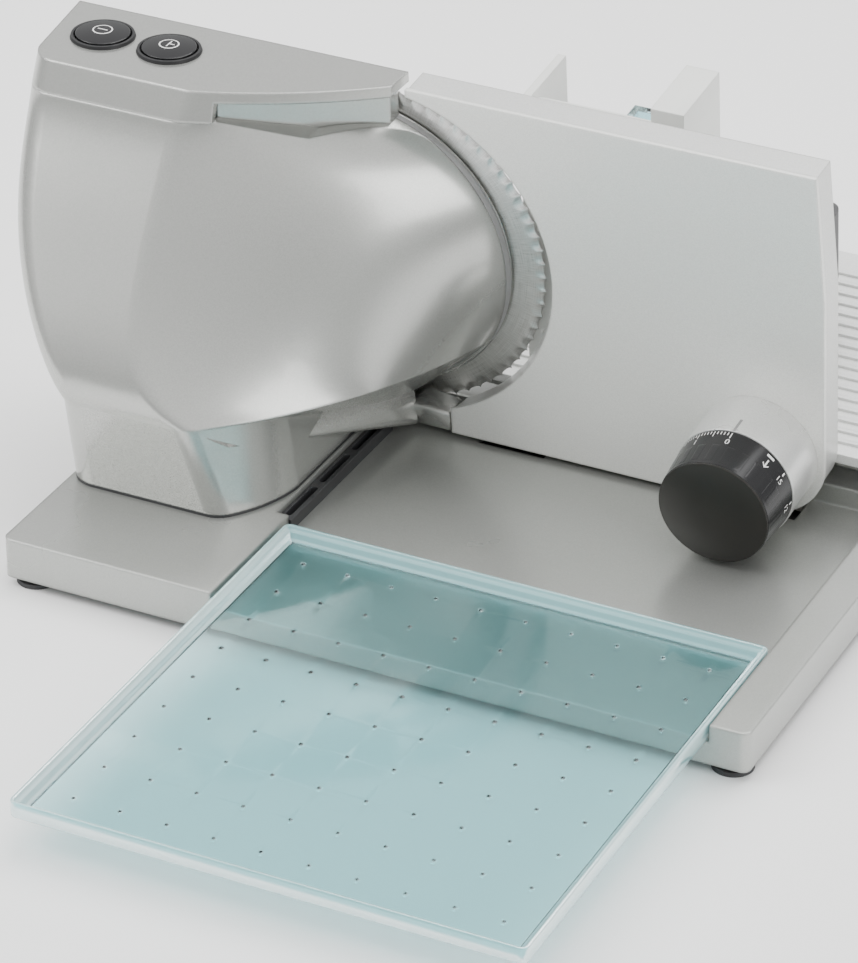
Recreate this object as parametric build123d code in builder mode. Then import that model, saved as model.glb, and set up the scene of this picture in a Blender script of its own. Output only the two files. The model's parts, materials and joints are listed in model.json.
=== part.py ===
from build123d import *
import os
from math import cos, radians, sin, sqrt

# Electric food slicer (home "deli" slicer) with a leaning blade, a drop tray, a sliding food
# carriage and a remnant holder.  Millimetres.  X runs to the right of somebody who takes the
# slices, Y runs from that person towards the carriage, Z is up.  The origin is the middle of
# the whole machine on the table top.

os.makedirs("parts", exist_ok=True)

# ---------------------------------------------------------------- driving dimensions

# base, measured from the blade axis
base_left = 93.0
base_right = 271.0
base_front = 193.0
base_rear = 100.0
foot_height = 5.0
base_height = 19.7
base_wall = 2.6
base_corner = 4.0
pan_thickness = 1.5
deck_drop = 8.7
slot_left = 13.0
slot_right = 253.0
trough_front = 14.0
trough_rear = 14.0
notch_width = 6.0
notch_front = -118.0
inlet_left = -78.0
inlet_width = 16.0
rear_block_rise = 1.5

# blade and the leaning slicing plane
lean = 6.3
blade_height = 106.5
blade_radius = 86.0
blade_teeth = 72
tooth_depth = 1.5
tooth_arc = 5.0
blade_half = 0.8
bevel_width = 13.0
hub_radius = 24.0
dish = 1.2

# housing
housing_top = 204.0
housing_left = 150.0
housing_wall = 3.0
housing_gap = 3.0
back_plate = 3.0
waist = 69.5
crown = 190.0
visor = 5.0
seal = 1.5

# push buttons
button_radius = 12.6
bezel_radius = 15.2
button_travel = 2.5
button_pitch = 34.5
button_left = 119.5
button_depth = 42.5

# thickness plate, dial and its guide
plate_clear = 2.0
bite_radius = 87.7
bite_shift = 9.6
bite_lift = 8.8
plate_left = 27.0
plate_foot_left = 42.0
plate_right = 230.0
plate_top = 98.0
plate_bottom = 86.6
plate_thick = 17.5
plate_skin = 2.6
plate_travel = 15.0
dial_right = 198.0
dial_drop = 53.5
collar_radius = 28.8
collar_length = 28.0
collar_wall = 2.8
knob_radius = 28.4
knob_front_radius = 26.6
knob_length = 23.0
cap_height = 5.0
spindle_radius = 5.0
barrel_radius = 10.5
dial_turn = 330.0
pin_radius = 2.0
guide_rod_radius = 3.0
guide_rod_drop = 92.5
guide_places = (72.0, 198.0)

# carriage, fence and remnant holder
table_left = 38.0
table_right = 266.0
table_start = 2.5
table_depth = 155.0
table_drop = 61.0
table_thick = 3.0
rib_pitch = 8.0
rib_height = 1.2
skirt = 5.0
rail_radius = 5.0
rail_back = 16.0
rail_drop = 72.5
fence_left = 138.5
fence_thick = 10.0
fence_top = 62.0
fence_shoulder = 44.0
fence_tail = -14.0
holder_left = 73.0
holder_right = 135.0
holder_top = 86.0

# slice tray
tray_left = 14.6
tray_width = 237.0
tray_length = 250.0
tray_overlap = 70.0
tray_wall = 2.4
tray_rim = 8.0

# drive
gear_radius = 36.0
gear_teeth = 36
gear_place = 26.0
gear_width = 12.0
worm_radius = 7.0
motor_radius = 24.0
motor_length = 38.0
shaft_radius = 5.0
motor_shaft_radius = 2.5

# fits
slide_fit = 0.3
shaft_fit = 0.05
cover_fit = 0.4
touch = 0.02

# ---------------------------------------------------------------- places worked out from them

table_rear = table_start + table_depth
rear_reach = table_rear * cos(radians(lean)) + table_drop * sin(radians(lean))
front_reach = base_front + tray_length - tray_overlap
blade_x = (housing_left - base_right) / 2
blade_y = (front_reach - rear_reach) / 2
deck_top = foot_height + base_height - deck_drop
block_top = foot_height + base_height
rear_top = block_top + rear_block_rise

slicing = Plane(
    origin=(blade_x, blade_y, blade_height),
    x_dir=(1, 0, 0),
    z_dir=(0, -cos(radians(lean)), -sin(radians(lean))),
)


def lean_y(z, out):
    """Y, from the blade axis, of the plane that lies `out` in front of the blade, at height z."""
    rise = (z - blade_height) * sin(radians(lean))
    return -(out + rise) / cos(radians(lean))


def spot(x, y):
    """A point given from the blade axis, in the machine's own frame."""
    return (blade_x + x, blade_y + y)


def save(piece, name):
    """Label a finished piece and write it under its node's name."""
    piece.part.label = name
    export_step(piece.part, f"parts/{name}.step")


def level(z):
    return Plane.XY.offset(z)


def block(x0, x1, y0, y1, z0, z1, mode=Mode.ADD):
    """An upright box between two corners given from the blade axis."""
    with BuildSketch(level(z0)) as outline:
        with Locations(spot((x0 + x1) / 2, (y0 + y1) / 2)):
            Rectangle(x1 - x0, y1 - y0)
    extrude(outline.sketch, amount=z1 - z0, mode=mode)


def slab(u0, u1, v0, v1, d0, d1, mode=Mode.ADD):
    """A leaning box in the slicing plane's directions: right, up and towards the slices."""
    with BuildSketch(slicing.offset(d0)) as outline:
        with Locations(((u0 + u1) / 2, (v0 + v1) / 2)):
            Rectangle(u1 - u0, v1 - v0)
    extrude(outline.sketch, amount=d1 - d0, mode=mode)


def rod(u, v, radius, d0, d1, mode=Mode.ADD):
    """A round bar square to the slicing plane."""
    with BuildSketch(slicing.offset(d0)) as outline:
        with Locations((u, v)):
            Circle(radius)
    extrude(outline.sketch, amount=d1 - d0, mode=mode)


def upright(u, d, radius, v0, v1, mode=Mode.ADD):
    """A round bar that stands along the slicing plane's up direction."""
    floor = Plane(origin=slicing.from_local_coords(Vector(u, v0, d)), x_dir=(1, 0, 0),
                  z_dir=slicing.y_dir)
    with BuildSketch(floor) as outline:
        Circle(radius)
    extrude(outline.sketch, amount=v1 - v0, mode=mode)


def crossbar(x0, x1, v, d, radius, mode=Mode.ADD):
    """A round bar along X."""
    start = slicing.from_local_coords(Vector(x0, v, d))
    with BuildSketch(Plane(origin=start, x_dir=(0, 1, 0), z_dir=(1, 0, 0))) as outline:
        Circle(radius)
    extrude(outline.sketch, amount=x1 - x0, mode=mode)


# ---------------------------------------------------------------- base

with BuildPart() as base_cover:
    block(-base_left, base_right, -base_front, base_rear, foot_height, block_top)
    fillet(base_cover.edges().filter_by(Axis.Z), base_corner)
    block(-base_left, base_right, trough_rear, base_rear, block_top, rear_top)
    # hollow from below: under the left block, the rear block and the right rail
    block(-base_left + base_wall, slot_left - notch_width - base_wall, -base_front + base_wall,
          -trough_front - base_wall, foot_height, block_top - base_wall, Mode.SUBTRACT)
    block(-base_left + base_wall, base_right - base_wall, trough_rear + base_wall,
          base_rear - base_wall, foot_height, rear_top - base_wall, Mode.SUBTRACT)
    block(slot_right + base_wall, base_right - base_wall, -base_front + base_wall,
          trough_rear + base_wall + touch, foot_height, block_top - base_wall, Mode.SUBTRACT)
    block(-base_left + base_wall, slot_right + base_wall, -trough_front - base_wall - touch,
          trough_rear + base_wall + touch, foot_height, deck_top - base_wall, Mode.SUBTRACT)
    block(slot_left - notch_width - base_wall - touch, slot_right + base_wall,
          -base_front + base_wall, -trough_front, foot_height, deck_top - base_wall,
          Mode.SUBTRACT)
    # the sunk deck for the tray, and the trough that the blade and the plate dip into
    block(slot_left, slot_right, -base_front - 1, trough_rear, deck_top, rear_top, Mode.SUBTRACT)
    block(-base_left - 1, slot_right, -trough_front, trough_rear, deck_top, rear_top, Mode.SUBTRACT)
    # a notch in the left block's edge for the black guide strip
    block(slot_left - notch_width, slot_left + touch, notch_front, -trough_front, deck_top,
          rear_top, Mode.SUBTRACT)
    # the two openings through which the thickness plate's feet reach their guides
    for place in guide_places:
        block(place - 17, place + 17, lean_y(deck_top, plate_thick - 1), trough_rear + base_wall,
              deck_top - base_wall - 1, rear_top - base_wall, Mode.SUBTRACT)
    # the supply inlet, and the cable way up into the pedestal
    block(inlet_left, inlet_left + inlet_width, base_rear - base_wall - 1, base_rear + 1,
          foot_height + 3, foot_height + 15, Mode.SUBTRACT)
    block(-60, -40, -90, -70, block_top - base_wall - 1, block_top + 1, Mode.SUBTRACT)
save(base_cover, "base_cover")

pan_edge = base_wall + cover_fit
with BuildPart() as base_pan:
    block(-base_left + pan_edge, base_right - pan_edge, -base_front + pan_edge,
          base_rear - pan_edge, foot_height, foot_height + pan_thickness)
    fillet(base_pan.edges().filter_by(Axis.Z), base_corner)
save(base_pan, "base_pan")

foot_inset = 11.0
foot_radius = 9.5
feet_x = (-base_left + foot_inset, base_right - foot_inset)
feet_y = (-base_front + foot_inset, base_rear - foot_inset)
with BuildPart() as suction_feet:
    with BuildSketch(level(0)):
        for x in feet_x:
            for y in feet_y:
                with Locations(spot(x, y)):
                    Circle(foot_radius)
    extrude(amount=2.0, taper=12)
    with BuildSketch(level(2.0)):
        for x in feet_x:
            for y in feet_y:
                with Locations(spot(x, y)):
                    Circle(foot_radius - 2.5)
    extrude(amount=foot_height - 2.0)
save(suction_feet, "suction_feet")

screw_y = (-base_front + 45.0, base_rear - 45.0)
with BuildPart() as base_screws:
    with BuildSketch(level(foot_height - 1.5)):
        for x in feet_x:
            for y in screw_y:
                with Locations(spot(x, y)):
                    Circle(3.5)
    extrude(amount=1.5)
save(base_screws, "base_screws")

strip_height = 6.0
with BuildPart() as deck_strip:
    block(slot_left - notch_width + slide_fit, slot_left + 1.2, notch_front + slide_fit,
          -trough_front - slide_fit, deck_top, deck_top + strip_height)
    for step in range(3):
        middle = notch_front + 18 + 33 * step
        with BuildSketch(level(deck_top + 2)) as slots:
            with Locations(spot(slot_left - notch_width / 2 + 0.6, middle)):
                SlotOverall(28, 3.4, rotation=90)
        extrude(slots.sketch, amount=strip_height, mode=Mode.SUBTRACT)
save(deck_strip, "deck_strip")


# ---------------------------------------------------------------- housing

nose_radius = 77.0
nose_left = 7.5
rim_rise = 1.0
rim_ease = 0.6
bulge = 0.07
seat = block_top + seal



def rim(z):
    """The round rim of the housing beside the blade, at one height: how far right, how far out."""
    climb = (z - blade_height) / cos(radians(lean)) - rim_rise
    right = rim_ease - nose_left + sqrt(max(nose_radius ** 2 - climb ** 2, 0))
    return right, lean_y(z, housing_gap)


# one station per height: rear left, front left, front, shoulder, nose, nose front
body_stations = (
    (waist, -112.0, -95.0, -141.0, -27.0) + rim(waist),
    (92.0, -126.0, -109.0, -137.0, -52.0) + rim(92.0),
    (115.0, -138.0, -123.0, -124.0, -60.0) + rim(115.0),
    (140.0, -146.0, -133.0, -109.0, -62.0) + rim(140.0),
    (165.0, -149.0, -138.0, -94.0, -62.0) + rim(165.0),
    (crown, -150.0, -139.5, -81.0, -60.0, -4.0, lean_y(crown, housing_gap) - 4.0),
)
under_stations = (
    (40.0, -92.0, -84.0, -40.0, 8.0) + rim(40.0),
    (waist, -112.0, -95.0, -141.0, -27.0) + rim(waist),
)
foot_stations = (
    (seat, -93.0, -93.0, -136.0, -14.0, 6.0, -95.0),
    (waist, -98.0, -95.0, -141.0, -27.0, 0.0, -95.0),
)
top_stations = (
    (crown, -150.0, -139.5, -81.0, -60.0, 22.0, -34.0),
    (housing_top, -149.5, -139.0, -75.0, -56.0, 22.0, -31.0),
)


def outline(station, inset):
    """The housing's outline at one height, its two front corners rounded, drawn in by `inset`."""
    z, rear_left, front_left, front, shoulder, nose, nose_front = station
    cheek = bulge * (nose_front - front)
    behind = lean_y(z, 0) + 8
    with BuildSketch(level(z)) as shape:
        with BuildLine():
            Polyline(
                spot(rear_left, behind),
                spot(front_left, front),
                spot(shoulder, front),
            )
            ThreePointArc(
                spot(shoulder, front),
                spot((shoulder + nose) / 2 + cheek, (front + nose_front) / 2 - cheek),
                spot(nose, nose_front),
            )
            Polyline(
                spot(nose, nose_front),
                spot(nose, behind),
                spot(rear_left, behind),
            )
        make_face()
        fillet(shape.vertices().group_by(Axis.Y)[0], 14)
        if inset:
            offset(amount=-inset, kind=Kind.INTERSECTION, mode=Mode.REPLACE)
    return shape.sketch


def nose_window(inset):
    """What of the slicing plane the housing may cover: all the left, and the round nose."""
    with BuildSketch(slicing.offset(-10)) as window:
        with Locations((-nose_left, 1)):
            Circle(nose_radius - inset)
        with BuildLine():
            Polyline(
                (-220, 140),
                (-46 - inset, 140),
                (-46 - inset, 90),
                (-nose_left, nose_radius - inset),
                (-nose_left, inset - 60),
                (8 - inset, inset - 86),
                (8 - inset, -160),
                (-220, -160),
                close=True,
            )
        make_face()
    return window.sketch


def housing_form(inset):
    """The whole housing below its top cover: body, under side and foot."""
    for stations in (body_stations, under_stations, foot_stations):
        loft([outline(station, inset) for station in stations], ruled=len(stations) == 2)
    extrude(nose_window(inset), amount=190, mode=Mode.INTERSECT)


with BuildPart() as housing_solid:
    housing_form(0)

with BuildPart() as housing_space:
    housing_form(housing_wall)

with BuildPart() as housing_front:
    add(housing_solid.part)
    add(housing_space.part, mode=Mode.SUBTRACT)
    split(bisect_by=slicing.offset(housing_gap + back_plate), keep=Keep.TOP)
    # way down into the base and up to the buttons
    block(-78, -8, -124, -30, seat - 1, seat + 2 * housing_wall, Mode.SUBTRACT)
    block(-136, -68, -66, -26, crown - 2 * housing_wall, crown + 1, Mode.SUBTRACT)
save(housing_front, "housing_front")

with BuildPart() as housing_back:
    add(housing_solid.part)
    split(bisect_by=slicing.offset(housing_gap), keep=Keep.TOP)
    split(bisect_by=slicing.offset(housing_gap + back_plate), keep=Keep.BOTTOM)
    rod(0, 0, hub_radius + 2, 0, 20, Mode.SUBTRACT)
save(housing_back, "housing_back")

visor_start = -46.0
recess_depth = 16.0
button_spots = [
    spot(-button_left, -button_depth),
    spot(-button_left + button_pitch, -button_depth),
]
with BuildPart() as top_space:
    loft([outline(station, housing_wall) for station in (
        (crown - 1,) + top_stations[0][1:],
        (housing_top - visor,) + top_stations[1][1:],
    )], ruled=True)
    split(bisect_by=slicing.offset(housing_gap + back_plate), keep=Keep.TOP)

with BuildPart() as housing_top_cover:
    loft([outline(station, 0) for station in top_stations], ruled=True)
    split(bisect_by=slicing.offset(housing_gap), keep=Keep.TOP)
    add(top_space.part, mode=Mode.SUBTRACT)
    # only the visor goes on over the nose, above a wall that runs in under it
    block(visor_start, 40, -100, 10, crown - 2, housing_top - visor, Mode.SUBTRACT)
    with BuildSketch(level(crown - recess_depth)) as wall:
        with BuildLine():
            Polyline(spot(visor_start - 1, -68.5), spot(16, -20), spot(16, lean_y(crown, -4)),
                     spot(visor_start - 1, lean_y(crown, -4)), close=True)
        make_face()
    extrude(wall.sketch, amount=recess_depth + housing_top - visor - crown + 1)
    add(housing_solid.part, mode=Mode.SUBTRACT)
    split(bisect_by=slicing.offset(housing_gap), keep=Keep.TOP)
    add(housing_top_cover.solids().sort_by(SortBy.VOLUME)[-1], mode=Mode.REPLACE)
    with BuildSketch(level(housing_top - visor - 1)) as holes:
        with Locations(*button_spots):
            Circle(button_radius + cover_fit)
    extrude(holes.sketch, amount=visor + 2, mode=Mode.SUBTRACT)
save(housing_top_cover, "housing_top")

with BuildPart() as button_bezels:
    with BuildSketch(level(housing_top)) as rings:
        with Locations(*button_spots):
            Circle(bezel_radius)
        with Locations(*button_spots):
            Circle(button_radius + cover_fit, mode=Mode.SUBTRACT)
    extrude(rings.sketch, amount=1.6, taper=20)
save(button_bezels, "button_bezels")

button_rise = 3.4
button_skirt = 7.0
stem_length = 9.0
for name, place in zip(("off", "on"), button_spots):
    with BuildPart() as button:
        with BuildSketch(Plane(origin=(*place, 0), x_dir=(1, 0, 0), z_dir=(0, -1, 0))) as half:
            with BuildLine():
                low = housing_top - button_skirt
                rim = housing_top + button_rise - 1.4
                ThreePointArc((0, housing_top + button_rise), (button_radius / 2, rim + 1.1),
                              (button_radius, rim))
                Polyline((button_radius, rim), (button_radius, low), (3, low),
                         (3, low - stem_length), (0, low - stem_length),
                         (0, housing_top + button_rise))
            make_face()
        revolve(half.sketch, axis=Axis(origin=(*place, 0), direction=(0, 0, 1)))
    save(button, f"button_{name}")
    with BuildPart() as spring:
        with BuildSketch(level(low - stem_length + 2)) as coil:
            with Locations(place):
                Circle(4.6)
                Circle(3.0 + cover_fit, mode=Mode.SUBTRACT)
        extrude(coil.sketch, amount=stem_length - 2)
    save(spring, f"spring_{name}")

switch_top = housing_top - button_skirt - stem_length - button_travel - 0.5
with BuildPart() as switch_bracket:
    block(-134, -70, -62, -34, switch_top + button_travel + 0.5, switch_top + button_travel + 2.5)
    with BuildSketch(level(switch_top)) as holes:
        with Locations(*button_spots):
            Circle(3.0 + cover_fit)
    extrude(holes.sketch, amount=8, mode=Mode.SUBTRACT)
    for left in (-134, -72):
        block(left, left + 2, -62, -34, switch_top - 14, switch_top + button_travel + 0.5)
    block(-134, -70, -62, -34, switch_top - 16, switch_top - 14)
    block(-138, -66, -36, -22, switch_top - 16, switch_top - 14)
save(switch_bracket, "switch_bracket")
with BuildPart() as switches:
    with BuildSketch(level(switch_top - 14)) as bodies:
        with Locations(*button_spots):
            Rectangle(20, 12)
    extrude(bodies.sketch, amount=13.6)
save(switches, "switches")

# arm under the nose: a thin skirt from the foot down to the thickness plate
with BuildPart() as guard_arm:
    with BuildSketch(Plane.XZ.offset(-blade_y + 122)) as near:
        with BuildLine():
            Polyline((blade_x - 25, 65), (blade_x - 20, 66), (blade_x - 9, 58),
                     (blade_x - 14, 56), close=True)
        make_face()
    with BuildSketch(Plane.XZ.offset(-blade_y + 2)) as far:
        with BuildLine():
            Polyline((blade_x + 13, 41), (blade_x + 20, 42), (blade_x + 26.5, 18.6),
                     (blade_x + 20, 18.6), close=True)
        make_face()
    loft([near.sketch, far.sketch], ruled=True)
    slab(18, plate_foot_left - cover_fit, -plate_bottom, -76, housing_gap, plate_thick)
    add(housing_solid.part, mode=Mode.SUBTRACT)
    add(guard_arm.solids().sort_by(SortBy.VOLUME)[-1], mode=Mode.REPLACE)
save(guard_arm, "guard_arm")

with BuildPart() as pedestal_seal:
    with BuildSketch(level(block_top)) as ring:
        add(outline((block_top,) + foot_stations[0][1:], -0.0))
    extrude(ring.sketch, amount=seal)
    split(bisect_by=slicing.offset(housing_gap + back_plate), keep=Keep.TOP)
    block(-80, -6, -126, -28, block_top - 1, seat + 1, Mode.SUBTRACT)
    block(-100, 20, -trough_front, 30, block_top - 1, seat + 1, Mode.SUBTRACT)
save(pedestal_seal, "pedestal_seal")


# ---------------------------------------------------------------- blade and its drive

with BuildPart() as blade:
    with BuildSketch(Plane(origin=slicing.origin, x_dir=(1, 0, 0),
                           z_dir=-slicing.y_dir)) as section:
        inner = shaft_radius + slide_fit
        with BuildLine():
            Polyline((inner, dish), (hub_radius, dish), (hub_radius + 8, -blade_half),
                     (blade_radius, -blade_half), (blade_radius, -blade_half + 0.2),
                     (blade_radius - bevel_width, blade_half), (hub_radius + 8, blade_half),
                     (hub_radius, dish + 2 * blade_half), (inner, dish + 2 * blade_half),
                     close=True)
        make_face()
    revolve(section.sketch, axis=Axis(origin=slicing.origin, direction=slicing.z_dir))
    notch_ring = blade_radius - tooth_depth + tooth_arc
    with BuildSketch(slicing.offset(-5)) as notches:
        with PolarLocations(notch_ring, blade_teeth):
            Circle(tooth_arc)
    extrude(notches.sketch, amount=12, mode=Mode.SUBTRACT)
save(blade, "blade")

blade_front = dish + 2 * blade_half
with BuildPart() as blade_lock:
    rod(0, 0, 17.0, -blade_half + 0.2, dish - touch)
    rod(0, 0, shaft_radius - 1.5, dish - 2 * touch, blade_front + 6)
    slab(-9, 9, -2, 2, -2, 1, Mode.SUBTRACT)
save(blade_lock, "blade_lock")

shaft_end = gear_place + gear_width + 12
with BuildPart() as blade_shaft:
    rod(0, 0, 15.0, blade_front + touch, blade_front + 3)
    rod(0, 0, shaft_radius, blade_front + 2.5, shaft_end)
    rod(0, 0, shaft_radius - 1.5 + shaft_fit, 0, blade_front + 7, Mode.SUBTRACT)
save(blade_shaft, "blade_shaft")

with BuildPart() as blade_gear:
    rod(0, 0, gear_radius, gear_place, gear_place + gear_width)
    with BuildSketch(slicing.offset(gear_place - 1)) as gaps:
        with PolarLocations(gear_radius, gear_teeth):
            Rectangle(4.4, 3.4)
    extrude(gaps.sketch, amount=gear_width + 2, mode=Mode.SUBTRACT)
    rod(0, 0, gear_radius - 7, gear_place - 1, gear_place + 4, Mode.SUBTRACT)
    rod(0, 0, 11.0, gear_place - 6, gear_place + 5)
    rod(0, 0, shaft_radius + touch, gear_place - 8, gear_place + gear_width + 1, Mode.SUBTRACT)
save(blade_gear, "blade_gear")

frame_front = gear_place + gear_width + 3
with BuildPart() as gear_frame:
    slab(-30, 30, -30, 34, housing_gap + back_plate + 2, housing_gap + back_plate + 6)
    for u in (-24, 12):
        rod(u, gear_radius + 5, 4, housing_gap + back_plate, frame_front)
    slab(-30, 18, 30, gear_radius + 10, housing_gap + back_plate, housing_gap + back_plate + 6)
    slab(-30, 18, -12, gear_radius + 10, frame_front, frame_front + 4)
    rod(0, 0, 9.0, housing_gap + back_plate, 60, Mode.SUBTRACT)
save(gear_frame, "gear_frame")
with BuildPart() as shaft_bushes:
    for start in (housing_gap + back_plate + 2 - 0.5, frame_front - 0.5):
        rod(0, 0, 9.0 - touch, start, start + 5)
    rod(0, 0, shaft_radius + shaft_fit, 0, 80, Mode.SUBTRACT)
save(shaft_bushes, "shaft_bushes")

motor_left = -(gear_radius + worm_radius + 0.4)
motor_place = gear_place + gear_width / 2
motor_top = -gear_radius * 0.95
motor_low = motor_top - motor_length
with BuildPart() as motor_can:
    upright(motor_left, motor_place, motor_radius, motor_low, motor_top)
    upright(motor_left, motor_place, motor_radius - 1.6, motor_low - 1, motor_top - 2,
            Mode.SUBTRACT)
    upright(motor_left, motor_place, 5.0, motor_top - 3, motor_top + 1, Mode.SUBTRACT)
save(motor_can, "motor_can")
with BuildPart() as motor_magnets:
    upright(motor_left, motor_place, motor_radius - 1.6 - touch, motor_low + 6, motor_top - 6)
    upright(motor_left, motor_place, motor_radius - 6, motor_low, motor_top, Mode.SUBTRACT)
    slab(motor_left - 3, motor_left + 3, motor_low, motor_top, motor_place - 40,
         motor_place + 40, Mode.SUBTRACT)
save(motor_magnets, "motor_magnets")
with BuildPart() as motor_cap:
    upright(motor_left, motor_place, motor_radius - 1.6 - touch, motor_low, motor_low + 3)
    upright(motor_left, motor_place, 4.5, motor_low, motor_low + 4, Mode.SUBTRACT)
save(motor_cap, "motor_cap")
with BuildPart() as motor_bushes:
    upright(motor_left, motor_place, 4.5 - touch, motor_low - 1, motor_low + 3)
    upright(motor_left, motor_place, 5.0 - touch, motor_top - 2, motor_top + 2)
    upright(motor_left, motor_place, motor_shaft_radius + shaft_fit, motor_low - 2,
            motor_top + 3, Mode.SUBTRACT)
save(motor_bushes, "motor_bushes")
with BuildPart() as motor_brushes:
    for side in (-1, 1):
        slab(motor_left + side * 9 - 3.6, motor_left + side * 9 + 3.6, motor_low + 3 + touch,
             motor_low + 7, motor_place - 2, motor_place + 2)
save(motor_brushes, "motor_brushes")
with BuildPart() as rotor:
    upright(motor_left, motor_place, motor_shaft_radius, motor_low - 1, worm_radius + 12)
    upright(motor_left, motor_place, motor_radius - 6.8, motor_low + 9, motor_top - 7)
    upright(motor_left, motor_place, 5.0, motor_low + 3.5, motor_low + 9)
save(rotor, "rotor")
with BuildPart() as worm:
    upright(motor_left, motor_place, worm_radius - 1.6, -13, 13)
    for turn in range(-6, 7):
        upright(motor_left, motor_place, worm_radius, 2 * turn - 0.4, 2 * turn + 0.5)
    upright(motor_left, motor_place, motor_shaft_radius + touch, -14, 14, Mode.SUBTRACT)
save(worm, "worm")
with BuildPart() as worm_bearing:
    slab(motor_left - 7, motor_left + 7, 14, 19, housing_gap + back_plate, motor_place + 7)
    upright(motor_left, motor_place, motor_shaft_radius + shaft_fit, 10, 24, Mode.SUBTRACT)
save(worm_bearing, "worm_bearing")

with BuildPart() as motor_mount:
    slab(motor_left - 28, motor_left + 22, motor_top - 0.2, motor_top + 2.5,
         housing_gap + back_plate, motor_place + 24)
    slab(motor_left - 28, motor_left + 22, motor_top - 20, motor_top + 2.5,
         housing_gap + back_plate, housing_gap + back_plate + 3)
    upright(motor_left, motor_place, 5.0 + slide_fit, motor_top - 2, motor_top + 4, Mode.SUBTRACT)
    upright(motor_left, motor_place, motor_radius + touch, motor_top - 30, motor_top + touch,
            Mode.SUBTRACT)
save(motor_mount, "motor_mount")

with BuildPart() as circuit_board:
    slab(-132, -84, 10, 60, housing_gap + back_plate + 6, housing_gap + back_plate + 7.6)
    for u, v in ((-124, 20), (-110, 48), (-94, 26)):
        slab(u - 5, u + 5, v - 6, v + 6, housing_gap + back_plate + 7, housing_gap + back_plate + 18)
    for u, v in ((-128, 14), (-128, 56), (-88, 14), (-88, 56)):
        rod(u, v, 2.5, housing_gap + back_plate, housing_gap + back_plate + 7)
save(circuit_board, "circuit_board")

# ---------------------------------------------------------------- thickness plate and dial

plate_front = plate_thick
plate_back = -0.3


def plate_shape(inset, out):
    """The thickness plate seen square on, with the round bite for the blade."""
    with BuildSketch(slicing.offset(out)) as shape:
        with BuildLine():
            Polyline(
                (plate_left + inset, plate_top - inset),
                (plate_right - 4 - inset, plate_top - inset),
                (plate_right - inset, plate_top * 0.35),
                (plate_right - inset, -plate_bottom + inset),
                (plate_foot_left + inset, -plate_bottom + inset),
                (plate_foot_left + inset, -40),
                (plate_left + inset, -30),
                close=True,
            )
        make_face()
        fillet(shape.vertices().group_by(Axis.X)[-1], 30)
    return shape.sketch


def bite(inset):
    """Cuts the round bite for the blade; it opens to the upper right as it comes forward."""
    with BuildSketch(slicing.offset(plate_back - 0.5)) as near_blade:
        Circle(blade_radius + plate_clear + inset)
    with BuildSketch(slicing.offset(plate_thick + 0.5)) as at_face:
        with Locations((bite_shift, bite_lift)):
            Circle(bite_radius + inset)
    loft([near_blade.sketch, at_face.sketch], mode=Mode.SUBTRACT)


cover_back = plate_front - plate_skin
with BuildPart() as plate_space:
    extrude(plate_shape(0.6 + plate_skin, plate_back + plate_skin), amount=plate_thick)
    bite(0.6 + plate_skin)

with BuildPart() as gauge_plate:
    extrude(plate_shape(0.6, plate_back), amount=cover_back - plate_back - touch)
    bite(0.6)
    add(plate_space.part, mode=Mode.SUBTRACT)
save(gauge_plate, "gauge_plate")

dial_v = -dial_drop
with BuildPart() as gauge_cover:
    extrude(plate_shape(0, cover_back), amount=plate_skin)
    bite(0)
    rod(dial_right, dial_v, barrel_radius + 4, 0, 30, Mode.SUBTRACT)
save(gauge_cover, "gauge_cover")

collar_end = plate_front + collar_length
with BuildPart() as dial_collar:
    rod(dial_right, dial_v, collar_radius, plate_front, collar_end)
    rod(dial_right, dial_v, collar_radius - collar_wall, plate_front - 1, collar_end + 1,
        Mode.SUBTRACT)
    rod(dial_right, dial_v, collar_radius - collar_wall + touch, plate_front, plate_front + 3)
    rod(dial_right, dial_v, barrel_radius + slide_fit, plate_front - 1, plate_front + 4, Mode.SUBTRACT)
    slab(dial_right - 7, dial_right + 7, dial_v - collar_radius - 1, dial_v - 12,
         plate_front + 3.5, collar_end - 3, Mode.SUBTRACT)
save(dial_collar, "dial_collar")

knob_start = collar_end + cover_fit
knob_end = knob_start + knob_length
with BuildPart() as dial_knob:
    with BuildSketch(slicing.offset(knob_start)) as ring:
        with Locations((dial_right, dial_v)):
            Circle(knob_radius)
    with BuildSketch(slicing.offset(knob_end)) as front_ring:
        with Locations((dial_right, dial_v)):
            Circle(knob_front_radius)
    loft([ring.sketch, front_ring.sketch])
    rod(dial_right, dial_v, knob_front_radius - 4, knob_start - 1, knob_end - 3, Mode.SUBTRACT)
    with BuildSketch(slicing.offset(knob_start + 9)) as grips:
        with Locations((dial_right, dial_v)):
            with PolarLocations(knob_radius + 0.4, 24):
                Rectangle(1.6, 1.2)
    extrude(grips.sketch, amount=knob_length, taper=0, mode=Mode.SUBTRACT)
    rod(dial_right, dial_v, spindle_radius + 5, knob_start, knob_end - 3 + touch)
    rod(dial_right, dial_v, spindle_radius + touch, knob_start - 1, knob_end - 3, Mode.SUBTRACT)
save(dial_knob, "dial_knob")

with BuildPart() as dial_cap:
    base = slicing.from_local_coords(Vector(dial_right, dial_v, knob_end + touch))
    with BuildSketch(Plane(origin=base, x_dir=(1, 0, 0), z_dir=-slicing.y_dir)) as dome:
        with BuildLine():
            ThreePointArc((0, cap_height), (knob_front_radius * 0.6, cap_height * 0.74),
                          (knob_front_radius - 0.2, 0.8))
            Polyline((knob_front_radius - 0.2, 0.8), (knob_front_radius - 0.2, 0), (0, 0),
                     (0, cap_height))
        make_face()
    revolve(dome.sketch, axis=Axis(origin=base, direction=slicing.z_dir))
save(dial_cap, "dial_cap")

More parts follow.
